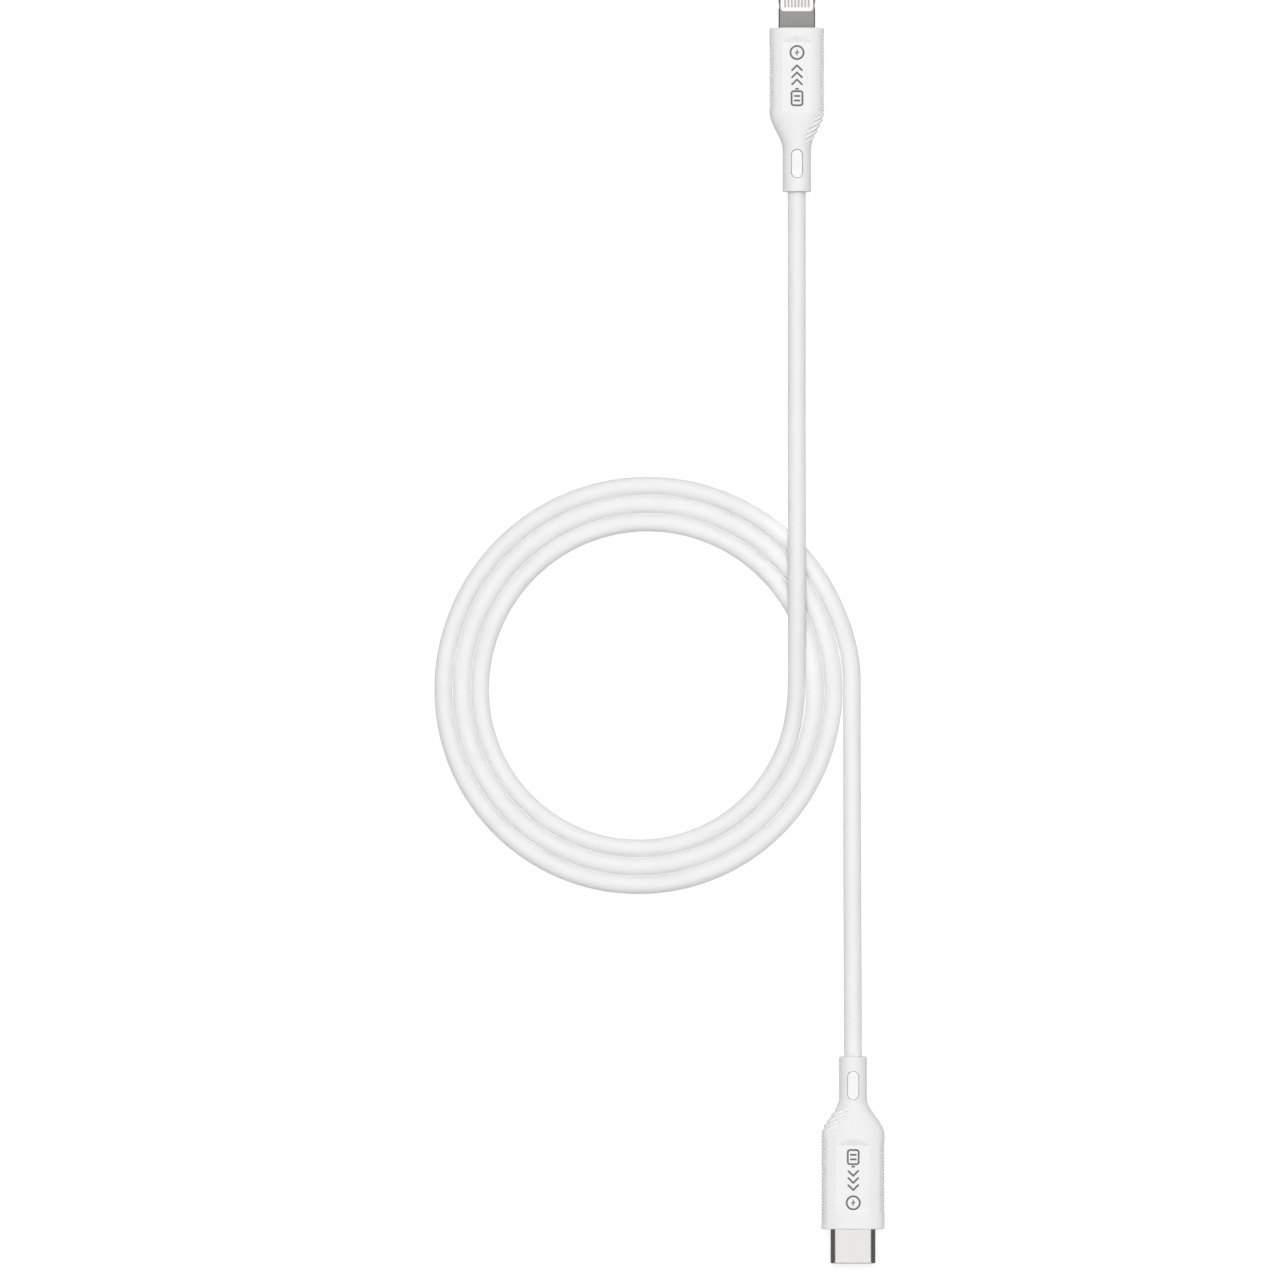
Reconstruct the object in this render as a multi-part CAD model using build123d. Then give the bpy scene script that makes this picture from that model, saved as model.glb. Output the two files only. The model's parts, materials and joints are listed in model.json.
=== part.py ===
from build123d import *
import math
import os

# Charging cable with a reversible tab plug at one end and a USB-C plug at the other, laid out flat:
# each plug lies on its crowned face, and the cord makes three turns of a flat coil between them.
# Millimetres. +Y points out of the tab plug, +X across the plugs, +Z up, floor at z = 0.
# The origin is under the middle of the two plugs.

# Cord and coil
CORD_DIAMETER = 3.25
CORD_FLOOR_Z = CORD_DIAMETER / 2
COIL_TURNS = 3
COIL_PITCH = 3.39
COIL_INNER_RADIUS = 29.14
COIL_SEAM_Y = -11.5

# Tab plug (nickel tab, sixteen contacts)
TAB_PLUG_WIDTH = 10.06
TAB_PLUG_HEIGHT = 6.6
TAB_PLUG_LENGTH = 30.1
TAB_PLUG_SHOULDER = (15.4, 22.4)
TAB_PLUG_NECK = 5.2
TAB_PLUG_PANEL = (2.7, 15.6)
TAB_PLUG_WINDOW_Y = 25.0
TAB_LENGTH = 6.7
TAB_WIDTH = 6.7
TAB_THICKNESS = 1.5
TAB_EDGE_RADIUS = 0.35
TAB_CORNER_RADIUS = 1.2

# USB-C plug
C_PLUG_WIDTH = 11.6
C_PLUG_HEIGHT = 6.5
C_PLUG_LENGTH = 31.7
C_PLUG_SHOULDER = (17.3, 24.1)
C_PLUG_NECK = 5.1
C_PLUG_PANEL = (3.25, 15.4)
C_PLUG_WINDOW_Y = 26.4
SHELL_WIDTH = 8.25
SHELL_HEIGHT = 2.4
SHELL_EXPOSED = 6.33
SHELL_WALL = 0.25

# Both plugs
CROWN_ANGLE = 26.0
FRONT_FILLET = 0.25
NECK_FILLET = 0.15
SHOULDER_SECTIONS = 7
PANEL_DEPTH = 0.5
PANEL_RAMP = 1.2
WINDOW_WIDTH = 2.14
WINDOW_LENGTH = 5.3
WINDOW_GAP = 0.17
LUG_RADIUS = 2.2
CORE_NECK = 4.3
CORE_FRONT = 0.6
CORE_TAPER = 5.0
CORE_END_GAP = 0.8
CAN_WALL = 0.15
JACKET_END = 16.5
FERRULE = (15.2, 19.6)
FERRULE_RADIUS = 2.0
BRAID_RADIUS = 1.8
BRAID_END = 19.2
WIRE_RADIUS = 0.4
WIRE_SPREAD = 0.62
WIRE_BEND = 1.5
WIRE_GATHER = 2.4
WIRE_CLEARANCE = 0.6

# Places of the two plugs: the front faces of their sleeves, with the pair centred on the origin
TIP_Y = 116.95
C_PLUG_X = 4.78
TAB_PLUG_X = TAB_PLUG_WIDTH / 2 - C_PLUG_WIDTH / 2 - C_PLUG_X
TAB_PLUG_FACE_Y = TIP_Y - TAB_LENGTH
C_PLUG_FACE_Y = SHELL_EXPOSED - TIP_Y
TAB_PLUG_PLACE = Location((TAB_PLUG_X, TAB_PLUG_FACE_Y, TAB_PLUG_HEIGHT / 2), (0, 0, 180))
C_PLUG_PLACE = Location((C_PLUG_X, C_PLUG_FACE_Y, C_PLUG_HEIGHT / 2))


# ---------------------------------------------------------------------------------------------
# Shapes. Each plug is modelled in its own frame: front face of the sleeve at y = 0, the cord
# leaving along +y, x across and z up from the plug's axis.


def block(x, y, z):
    """Box between pairs of limits."""
    centre = [(a + b) / 2 for a, b in (x, y, z)]
    return Pos(*centre) * Box(x[1] - x[0], y[1] - y[0], z[1] - z[0])


def section_plane(y):
    """Plane across the plug at depth y, with its own x sideways and its own y up."""
    return Plane(origin=(0, y, 0), x_dir=(1, 0, 0), z_dir=(0, -1, 0))


def along(sketch, start, end):
    """Prism of a section from one depth to another."""
    return extrude(section_plane(start) * sketch, amount=end - start, dir=(0, 1, 0))


def oval(width, height):
    """Crowned oval: a shallow arc above and below, each tangent to a round side."""
    half_width, half_height, angle = width / 2, height / 2, math.radians(CROWN_ANGLE)
    difference = (half_width - half_height) / (math.sin(angle) + math.cos(angle) - 1)
    crown_radius = half_width - difference * math.sin(angle) + difference
    x = crown_radius * math.sin(angle)
    y = half_height - crown_radius * (1 - math.cos(angle))
    arcs = [
        ThreePointArc((-x, y), (0, half_height), (x, y)),
        ThreePointArc((x, y), (half_width, 0), (x, -y)),
        ThreePointArc((x, -y), (0, -half_height), (-x, -y)),
        ThreePointArc((-x, -y), (-half_width, 0), (-x, y)),
    ]
    return make_face(arcs)


def profile(points, width, x=0.0):
    """Strip of a side outline (y, z), a given width across, centred at x."""
    face = Plane.YZ * make_face(Polyline(points, close=True))
    return Pos(x - width / 2, 0, 0) * extrude(face, amount=width, dir=(1, 0, 0))


def both_faces(solid):
    """A solid together with its mirror image below the plug's axis."""
    return solid + mirror(solid, Plane.XY)


def ease(t):
    """Smooth step from 0 to 1."""
    return t * t * (3 - 2 * t)


def sleeve_blank(width, height, length, shoulder, neck):
    """Outside of a plug's sleeve: crowned body, eased shoulder and round neck."""
    start, end = shoulder
    body = along(oval(width, height), 0, start)
    body = fillet(body.faces().sort_by(Axis.Y)[0].edges(), FRONT_FILLET)
    sections = []
    for index in range(SHOULDER_SECTIONS):
        part = index / (SHOULDER_SECTIONS - 1)
        share = ease(part)
        outline = oval(width + (neck - width) * share, height + (neck - height) * share)
        sections.append(section_plane(start + part * (end - start)) * outline)
    neck_part = along(oval(neck, neck), end, length)
    neck_part = fillet(neck_part.faces().sort_by(Axis.Y)[-1].edges(), NECK_FILLET)
    return body + loft(sections) + neck_part


def panel_cut(height, span):
    """Flat label panel milled into the crown, with a shallow ramp at each end."""
    floor = height / 2 - PANEL_DEPTH
    rise = 2 * PANEL_DEPTH
    run = PANEL_RAMP * rise / PANEL_DEPTH
    points = [
        (span[0], floor),
        (span[1], floor),
        (span[1] + run, floor + rise),
        (span[0] - run, floor + rise),
    ]
    return both_faces(profile(points, 2 * height))


def pill(y, width, length, top):
    """Round-ended block from the plug's axis up to a height."""
    outline = Pos(0, y) * SlotOverall(length, width, rotation=90)
    return extrude(outline, amount=top)


def core_blank(width, height, length, shoulder_start):
    """Outside of the rigid inner mould: body, taper and neck, without its lugs."""
    body = along(oval(width, height), CORE_FRONT, shoulder_start)
    taper_end = shoulder_start + CORE_TAPER
    sections = [
        section_plane(shoulder_start) * oval(width, height),
        section_plane(taper_end) * oval(CORE_NECK, CORE_NECK),
    ]
    neck = along(oval(CORE_NECK, CORE_NECK), taper_end, length - CORE_END_GAP)
    return body + loft(sections) + neck


def window_lugs(y):
    """Two lugs of the inner mould that lock the sleeve and show in its neck windows."""
    lug = pill(y, WINDOW_WIDTH - 2 * WINDOW_GAP, WINDOW_LENGTH - 2 * WINDOW_GAP, LUG_RADIUS)
    return both_faces(lug)


def cord_bore(start, end):
    return along(Circle(CORD_DIAMETER / 2), start, end)


def rear_cavity(can_end, length):
    """Room that the wires, the ferrule and the cord take up in the inner mould."""
    wires = cord_bore(can_end, FERRULE[0])
    ferrule = along(Circle(FERRULE_RADIUS), *FERRULE)
    return wires + ferrule + cord_bore(FERRULE[1], length)


def shield_can(width, height, radius, span):
    """Two pressed halves of the shield can that meet on the plug's mid plane."""
    inner = RectangleRounded(width - 2 * CAN_WALL, height - 2 * CAN_WALL, radius - CAN_WALL)
    can = along(RectangleRounded(width, height, radius), *span)
    can -= along(inner, span[0], span[1] - CAN_WALL)
    can -= cord_bore(span[1] - 2 * CAN_WALL, span[1])
    upper = can & block((-width, width), span, (0, height))
    lower = can & block((-width, width), span, (-height, 0))
    return upper, lower


def ferrule():
    """Crimped ring round the folded braid."""
    return along(Circle(FERRULE_RADIUS) - Circle(BRAID_RADIUS), *FERRULE)


def braid_fold():
    """End of the cord's braid, folded back over the jacket."""
    return along(Circle(BRAID_RADIUS) - Circle(CORD_DIAMETER / 2), JACKET_END, BRAID_END)


def wire(start_y, board_end, x, z, side, face):
    """One insulated wire from its pad on the board to the end of the cord's jacket."""
    points = [
        (side * x, start_y, face * z),
        (side * x, board_end + WIRE_CLEARANCE, face * z),
        (side * WIRE_SPREAD, JACKET_END - WIRE_GATHER, face * WIRE_SPREAD),
        (side * WIRE_SPREAD, JACKET_END, face * WIRE_SPREAD),
    ]
    path = FilletPolyline(*points, radius=WIRE_BEND)
    start = Plane(origin=points[0], x_dir=(1, 0, 0), z_dir=(0, 1, 0))
    return sweep(start * Circle(WIRE_RADIUS), path=path)


def wires(end_name, start_y, board_end, x, z):
    """Power and ground wires on one face of the board, the data pair on the other."""
    places = {"power": (-1, 1), "ground": (1, 1), "data_plus": (-1, -1), "data_minus": (1, -1)}
    return {
        f"{end_name}_{name}_wire": wire(start_y, board_end, x, z, side, face)
        for name, (side, face) in places.items()
    }


# ---------------------------------------------------------------------------------------------
# Tab plug

TAB_WINDOW = (-6.1, -3.1)
TAB_WINDOW_WIDTH = 5.98
TAB_WINDOW_RADIUS = 0.6
TAB_DETENT_RADIUS = 1.9
TAB_DETENT_DEPTH = 0.12
TAB_DETENT_FROM_TIP = 2.6
TAB_ROOT = (1.6, 4.0)
TAB_ROOT_SECTION = (6.8, 1.8, 0.3)
TAB_TAIL_X = (-2.6, 2.6)
TAB_TAIL_Z = (-0.55, 0.55)
TAB_CONTACTS = 8
TAB_CONTACT_PITCH = 0.618
TAB_CONTACT_WIDTH = 0.36
TAB_CARRIER_END = 4.4
TAB_BOARD = (TAB_CARRIER_END, 11.2)
TAB_BOARD_HALF = 0.3
TAB_CAN = (1.6, 13.4)
TAB_CAN_SIZE = (7.3, 3.1, 1.1)
TAB_CORE_SIZE = (8.5, 4.7)


def tab_section():
    return RectangleRounded(TAB_WIDTH, TAB_THICKNESS, TAB_EDGE_RADIUS)


def tab_channel():
    """Passage behind the contact window that the contact carrier's tail fills."""
    return block(TAB_TAIL_X, (TAB_WINDOW[1] - 0.1, TAB_ROOT[1]), TAB_TAIL_Z)


def tab_window():
    length = TAB_WINDOW[1] - TAB_WINDOW[0]
    outline = RectangleRounded(TAB_WINDOW_WIDTH, length, TAB_WINDOW_RADIUS)
    middle = sum(TAB_WINDOW) / 2
    return extrude(Pos(0, middle) * outline, amount=TAB_THICKNESS / 2, both=True)


def tab_frame():
    """Nickel-plated frame: the tab that enters the socket and the root held in the can."""
    tab = along(tab_section(), -TAB_LENGTH, TAB_ROOT[0])
    plan = RectangleRounded(TAB_WIDTH, 2 * TAB_LENGTH, TAB_CORNER_RADIUS)
    rounded = extrude(plan, amount=TAB_THICKNESS, both=True)
    tab &= rounded
    detent_x = TAB_WIDTH / 2 + TAB_DETENT_RADIUS - TAB_DETENT_DEPTH
    for side in (-1, 1):
        place = Pos(side * detent_x, TAB_DETENT_FROM_TIP - TAB_LENGTH)
        tab -= place * Cylinder(TAB_DETENT_RADIUS, 2 * TAB_THICKNESS)
    root = along(RectangleRounded(*TAB_ROOT_SECTION), *TAB_ROOT)
    return tab + root - tab_window() - tab_channel()


def tab_contact(x, face):
    """One contact: gold pad flush with the tab, riser, and tail soldered to the board."""
    points = [
        (-5.8, 0.75),
        (-3.8, 0.75),
        (-3.8, 0.42),
        (TAB_BOARD[0] + 1.2, 0.42),
        (TAB_BOARD[0] + 1.2, 0.3),
        (-3.92, 0.3),
        (-3.92, 0.63),
        (-5.8, 0.63),
    ]
    return profile([(y, face * z) for y, z in points], TAB_CONTACT_WIDTH, x)


def tab_contact_row(face):
    middle = (TAB_CONTACTS - 1) / 2
    row = [tab_contact((i - middle) * TAB_CONTACT_PITCH, face) for i in range(TAB_CONTACTS)]
    return Compound(children=row)


def tab_plug_nodes():
    front, back = tab_contact_row(1), tab_contact_row(-1)
    carrier = tab_window() + tab_channel()
    carrier += block(TAB_TAIL_X, (TAB_ROOT[1], TAB_CARRIER_END), TAB_TAIL_Z)
    for contact in front.solids() + back.solids():
        carrier -= contact
    board = block((-2.8, 2.8), TAB_BOARD, (-TAB_BOARD_HALF, TAB_BOARD_HALF))
    top = (TAB_BOARD_HALF, TAB_BOARD_HALF + 0.6)
    under = (-TAB_BOARD_HALF - 0.55, -TAB_BOARD_HALF)
    chip_capacitors = [
        block((x - 0.25, x + 0.25), (y, y + 1.0), (TAB_BOARD_HALF, TAB_BOARD_HALF + 0.5))
        for x in (-2.1, 2.1)
        for y in (6.0, 7.6)
    ]
    can_upper, can_lower = shield_can(*TAB_CAN_SIZE, TAB_CAN)
    blank = core_blank(*TAB_CORE_SIZE, TAB_PLUG_LENGTH, TAB_PLUG_SHOULDER[0])
    core = blank + window_lugs(TAB_PLUG_WINDOW_Y)
    core -= along(tab_section(), 0, TAB_CAN[0])
    core -= along(RectangleRounded(*TAB_CAN_SIZE), *TAB_CAN)
    core -= rear_cavity(TAB_CAN[1], TAB_PLUG_LENGTH)
    sleeve = sleeve_blank(
        TAB_PLUG_WIDTH, TAB_PLUG_HEIGHT, TAB_PLUG_LENGTH, TAB_PLUG_SHOULDER, TAB_PLUG_NECK
    )
    sleeve -= panel_cut(TAB_PLUG_HEIGHT, TAB_PLUG_PANEL)
    sleeve -= blank
    sleeve -= along(tab_section(), 0, CORE_FRONT)
    sleeve -= cord_bore(TAB_PLUG_LENGTH - CORE_END_GAP, TAB_PLUG_LENGTH)
    sleeve -= both_faces(
        pill(TAB_PLUG_WINDOW_Y, WINDOW_WIDTH, WINDOW_LENGTH, TAB_PLUG_NECK)
    )
    nodes = {
        "tab_frame": tab_frame(),
        "tab_contact_carrier": carrier,
        "tab_contacts_front": front,
        "tab_contacts_back": back,
        "tab_board": board,
        "tab_controller_chip": block((-1.2, 1.2), (6.2, 8.2), top),
        "tab_protection_chip": block((-0.8, 0.8), (6.2, 7.8), under),
        "tab_capacitors": Compound(children=chip_capacitors),
        "tab_shield_upper": can_upper,
        "tab_shield_lower": can_lower,
        "tab_crimp_ferrule": ferrule(),
        "tab_braid_fold": braid_fold(),
        "tab_inner_mould": core,
        "tab_sleeve": sleeve,
    }
    nodes.update(wires("tab", 9.0, TAB_BOARD[1], 0.95, TAB_BOARD_HALF + WIRE_RADIUS))
    return nodes


# ---------------------------------------------------------------------------------------------
# USB-C plug

SHELL_REAR = 2.4
SHELL_LIP_RADIUS = 0.2
HOUSING = (-6.03, 3.0)
HOUSING_LIP = (-6.03, -5.5)
CAVITY_END = -0.75
FLEX_ROOT = -0.8
C_CONTACT_PITCH = 0.5
C_CONTACT_WIDTH = 0.24
C_UPPER_PINS = (1, 4, 5, 6, 7, 9, 12)
C_LOWER_PINS = (1, 4, 5, 9, 12)
C_BOARD = (3.0, 10.5)
C_BOARD_HALF = 0.35
C_CAN = (1.4, 12.6)
C_CAN_SIZE = (8.7, 3.2, 1.2)
C_CORE_SIZE = (10.1, 4.9)
LATCH_X = 3.4
LATCH_THICKNESS = 0.12
LATCH_HALF_HEIGHT = 0.25
GROUND_SPRING_Z = 0.84


def usb_c_shell():
    """Deep-drawn steel shell, open at both ends, with a rounded leading edge."""
    outer = along(SlotOverall(SHELL_WIDTH, SHELL_HEIGHT), -SHELL_EXPOSED, SHELL_REAR)
    outer = fillet(outer.faces().sort_by(Axis.Y)[0].edges(), SHELL_LIP_RADIUS)
    inside = SlotOverall(SHELL_WIDTH - 2 * SHELL_WALL, SHELL_HEIGHT - 2 * SHELL_WALL)
    return outer - along(inside, -SHELL_EXPOSED, SHELL_REAR)


def pin_row(pins, points, face):
    """Group of contact strips, one for each pin number in use."""
    strips = [
        profile([(y, face * z) for y, z in points], C_CONTACT_WIDTH, (pin - 6.5) * C_CONTACT_PITCH)
        for pin in pins
    ]
    return Compound(children=strips)


def contact_beams(pins, face):
    """Free ends of the contacts, which spring outward over a socket's tongue."""
    points = [
        (FLEX_ROOT, 0.50),
        (-4.6, 0.27),
        (-5.1, 0.42),
        (-5.1, 0.54),
        (-4.6, 0.39),
        (FLEX_ROOT, 0.62),
    ]
    return pin_row(pins, points, face)


def contact_tails(pins, face):
    """Fixed ends of the contacts, held in the housing and soldered to the board."""
    points = [
        (CAVITY_END, 0.50),
        (2.5, 0.50),
        (2.9, 0.35),
        (4.4, 0.35),
        (4.4, 0.47),
        (2.95, 0.47),
        (2.55, 0.62),
        (CAVITY_END, 0.62),
    ]
    return pin_row(pins, points, face)


def latch_arm(side):
    """Side spring whose hook drops into the notch of a socket's tongue."""
    outer = LATCH_X + LATCH_THICKNESS
    points = [
        (outer, FLEX_ROOT),
        (outer, -5.35),
        (LATCH_X - 0.04, -5.35),
        (LATCH_X - 0.2, -5.05),
        (LATCH_X, -4.75),
        (LATCH_X, FLEX_ROOT),
    ]
    outline = make_face(Polyline([(side * x, y) for x, y in points], close=True))
    return extrude(outline, amount=LATCH_HALF_HEIGHT, both=True)


def latch_bridge():
    """Mid plate in the housing that joins the roots of the two latch arms."""
    outer = LATCH_X + LATCH_THICKNESS
    plate = block((-outer, outer), (0.2, 2.0), (-0.08, 0.08))
    for side in (-1, 1):
        edges = sorted((side * LATCH_X, side * outer))
        plate += block(edges, (CAVITY_END, 1.0), (-LATCH_HALF_HEIGHT, LATCH_HALF_HEIGHT))
    return plate


def ground_spring(face):
    """Thin sprung plate that bonds the shell to a socket's ground, with three fingers."""
    plate = block((-2.6, 2.6), (-5.95, -4.6), (GROUND_SPRING_Z, GROUND_SPRING_Z + 0.09))
    for x in (-0.9, 0.9):
        plate -= block((x - 0.15, x + 0.15), (-5.95, -5.0), (0, 2))
    return plate if face > 0 else mirror(plate, Plane.XY)


def usb_c_housing(inserts):
    """Moulded housing: tongue cavity, windows for the latch arms, seats for the springs."""
    outline = SlotOverall(SHELL_WIDTH - 2 * SHELL_WALL, SHELL_HEIGHT - 2 * SHELL_WALL)
    housing = along(outline, *HOUSING)
    housing -= along(SlotOverall(6.9, 1.2), HOUSING[0], HOUSING_LIP[1])
    housing -= along(SlotOverall(7.1, 1.56), HOUSING_LIP[1], CAVITY_END)
    for side in (-1, 1):
        edges = sorted((side * 2.9, side * 4.0))
        housing -= block(edges, (-5.6, CAVITY_END), (-0.42, 0.42))
    seat = block((-2.65, 2.65), (-6.1, -4.5), (GROUND_SPRING_Z - 0.01, 1.0))
    housing -= both_faces(seat)
    for insert in inserts:
        housing -= insert
    return housing


def usb_c_plug_nodes():
    tails_upper = contact_tails(C_UPPER_PINS, 1)
    tails_lower = contact_tails(C_LOWER_PINS, -1)
    bridge = latch_bridge()
    inserts = list(tails_upper.solids()) + list(tails_lower.solids()) + [bridge]
    board = block((-3.7, 3.7), C_BOARD, (-C_BOARD_HALF, C_BOARD_HALF))
    face = (C_BOARD_HALF, C_BOARD_HALF + 0.5)
    can_upper, can_lower = shield_can(*C_CAN_SIZE, C_CAN)
    blank = core_blank(*C_CORE_SIZE, C_PLUG_LENGTH, C_PLUG_SHOULDER[0])
    shell_solid = SlotOverall(SHELL_WIDTH, SHELL_HEIGHT)
    core = blank + window_lugs(C_PLUG_WINDOW_Y)
    core -= along(shell_solid, 0, C_CAN[0])
    core -= along(RectangleRounded(*C_CAN_SIZE), *C_CAN)
    core -= rear_cavity(C_CAN[1], C_PLUG_LENGTH)
    sleeve = sleeve_blank(C_PLUG_WIDTH, C_PLUG_HEIGHT, C_PLUG_LENGTH, C_PLUG_SHOULDER, C_PLUG_NECK)
    sleeve -= panel_cut(C_PLUG_HEIGHT, C_PLUG_PANEL)
    sleeve -= blank
    sleeve -= along(shell_solid, 0, CORE_FRONT)
    sleeve -= cord_bore(C_PLUG_LENGTH - CORE_END_GAP, C_PLUG_LENGTH)
    sleeve -= both_faces(pill(C_PLUG_WINDOW_Y, WINDOW_WIDTH, WINDOW_LENGTH, C_PLUG_NECK))
    nodes = {
        "usb_c_shell": usb_c_shell(),
        "usb_c_housing": usb_c_housing(inserts),
        "usb_c_contacts_upper": contact_beams(C_UPPER_PINS, 1),
        "usb_c_contacts_lower": contact_beams(C_LOWER_PINS, -1),
        "usb_c_tails_upper": tails_upper,
        "usb_c_tails_lower": tails_lower,
        "usb_c_latch_left": latch_arm(-1),
        "usb_c_latch_right": latch_arm(1),
        "usb_c_latch_bridge": bridge,
        "usb_c_ground_spring_upper": ground_spring(1),
        "usb_c_ground_spring_lower": ground_spring(-1),
        "usb_c_board": board,
        "usb_c_resistor": block((-2.6, -1.6), (6.0, 6.5), face),
        "usb_c_capacitor": block((1.4, 2.6), (6.0, 6.8), (C_BOARD_HALF, C_BOARD_HALF + 0.7)),
        "usb_c_shield_upper": can_upper,
        "usb_c_shield_lower": can_lower,
        "usb_c_crimp_ferrule": ferrule(),
        "usb_c_braid_fold": braid_fold(),
        "usb_c_inner_mould": core,
        "usb_c_sleeve": sleeve,
    }
    nodes.update(wires("usb_c", 8.3, C_BOARD[1], 1.3, C_BOARD_HALF + WIRE_RADIUS))
    return nodes


# ---------------------------------------------------------------------------------------------
# Cord: a straight run from each plug and the flat coil between them. The run from the tab plug
# passes over all three turns in a long low hump and drops into the innermost turn.

TAB_AXIS_Z = TAB_PLUG_HEIGHT / 2
C_AXIS_Z = C_PLUG_HEIGHT / 2
HUMP_Z = 5.35
UPPER_ROUTE = [
    (TAB_PLUG_X, TAB_PLUG_FACE_Y - JACKET_END, TAB_AXIS_Z),
    (TAB_PLUG_X, 69.0, TAB_AXIS_Z),
    (TAB_PLUG_X, 44.0, CORD_FLOOR_Z),
    (TAB_PLUG_X, 31.0, CORD_FLOOR_Z),
    (TAB_PLUG_X, 17.5, HUMP_Z),
    (TAB_PLUG_X, -1.0, HUMP_Z),
    (TAB_PLUG_X, -17.3, CORD_FLOOR_Z),
    (TAB_PLUG_X - 4.4, -28.0, CORD_FLOOR_Z),
]
COIL_OUTER_X = TAB_PLUG_X + COIL_TURNS * COIL_PITCH
LOWER_ROUTE = [
    (COIL_OUTER_X, COIL_SEAM_Y, CORD_FLOOR_Z),
    (4.70, -54.0, CORD_FLOOR_Z),
    (C_PLUG_X, -71.0, C_AXIS_Z),
    (C_PLUG_X, C_PLUG_FACE_Y + JACKET_END, C_AXIS_Z),
]


def cord_run(name, route):
    """Tube along straight runs joined by tangent arcs as large as the runs allow."""
    points = [Vector(*point) for point in route]
    radii = []
    for before, corner, after in zip(points, points[1:], points[2:]):
        shorter = min((corner - before).length, (after - corner).length)
        turn = (corner - before).get_angle(after - corner)
        radii.append(0.45 * shorter / math.tan(math.radians(turn / 2)))
    path = FilletPolyline(*points, radius=radii)
    start = Plane(origin=points[0], z_dir=points[1] - points[0])
    tube = sweep(start * Circle(CORD_DIAMETER / 2), path=path)
    expected = math.pi * CORD_DIAMETER**2 / 4 * path.length
    print(name, "arc radii", [round(radius, 1) for radius in radii])
    print(name, "length", round(path.length, 2), "volume share", round(tube.volume / expected, 4))
    return tube


def cord_coil():
    """Outer shape of the flat coil: two half rings of three turns, set half a pitch apart."""
    width = (COIL_TURNS - 1) * COIL_PITCH + CORD_DIAMETER
    halves = []
    for shift, sweep_angle in ((0, -180), (COIL_PITCH / 2, 180)):
        middle = COIL_INNER_RADIUS + shift + (COIL_TURNS - 1) / 2 * COIL_PITCH
        centre_x = TAB_PLUG_X - COIL_INNER_RADIUS + shift
        plane = Plane(
            origin=(centre_x + middle, COIL_SEAM_Y, CORD_FLOOR_Z), x_dir=(1, 0, 0), z_dir=(0, -1, 0)
        )
        axis = Axis((centre_x, COIL_SEAM_Y, 0), (0, 0, 1))
        halves.append(revolve(plane * SlotOverall(width, CORD_DIAMETER), axis, sweep_angle))
    return halves[0] + halves[1]


def cord_nodes():
    return {
        "cord_upper_run": cord_run("cord_upper_run", UPPER_ROUTE),
        "cord_coil": cord_coil(),
        "cord_lower_run": cord_run("cord_lower_run", LOWER_ROUTE),
    }


# ---------------------------------------------------------------------------------------------

nodes = {name: TAB_PLUG_PLACE * shape for name, shape in tab_plug_nodes().items()}
nodes.update({name: C_PLUG_PLACE * shape for name, shape in usb_c_plug_nodes().items()})
nodes.update(cord_nodes())

os.makedirs("parts", exist_ok=True)
for name, shape in nodes.items():
    export_step(shape, f"parts/{name}.step")
print(len(nodes), "nodes")
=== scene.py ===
import bmesh
import bpy
import json
import math
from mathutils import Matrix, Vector


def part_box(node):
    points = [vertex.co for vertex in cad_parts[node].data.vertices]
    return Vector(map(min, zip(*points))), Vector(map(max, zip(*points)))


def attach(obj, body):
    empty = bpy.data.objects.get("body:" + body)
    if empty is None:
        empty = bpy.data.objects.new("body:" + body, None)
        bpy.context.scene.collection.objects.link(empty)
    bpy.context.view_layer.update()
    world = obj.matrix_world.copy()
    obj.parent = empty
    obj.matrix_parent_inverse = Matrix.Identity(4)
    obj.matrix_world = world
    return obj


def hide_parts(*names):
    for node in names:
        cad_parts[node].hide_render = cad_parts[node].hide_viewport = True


# Charging cable laid out flat: sleeves, print marks and cord as detailed pieces round the CAD
# frame. +Y points out of the tab plug and +Z up, and the floor is at z = 0. Lengths are in
# metres, apart from the sleeves and the print, which are drawn in millimetres.

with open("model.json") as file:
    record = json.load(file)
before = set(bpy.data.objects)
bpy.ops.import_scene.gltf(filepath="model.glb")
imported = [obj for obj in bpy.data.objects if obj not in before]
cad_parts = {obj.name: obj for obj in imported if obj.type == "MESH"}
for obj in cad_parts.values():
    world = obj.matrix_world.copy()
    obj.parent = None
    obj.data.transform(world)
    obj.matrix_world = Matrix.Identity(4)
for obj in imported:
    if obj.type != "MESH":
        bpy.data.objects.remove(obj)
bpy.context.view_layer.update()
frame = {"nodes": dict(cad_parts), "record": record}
NODES = frame["nodes"]
BODY = "cable"
MM = 0.001


# ---------------------------------------------------------------------------------------------
# Materials

SKIN_DEPTH = 0.002
NOISE_LOW, NOISE_HIGH = 0.35, 0.65
NOISE_FAINT, NOISE_STRONG = 0.3, 0.7


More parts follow.
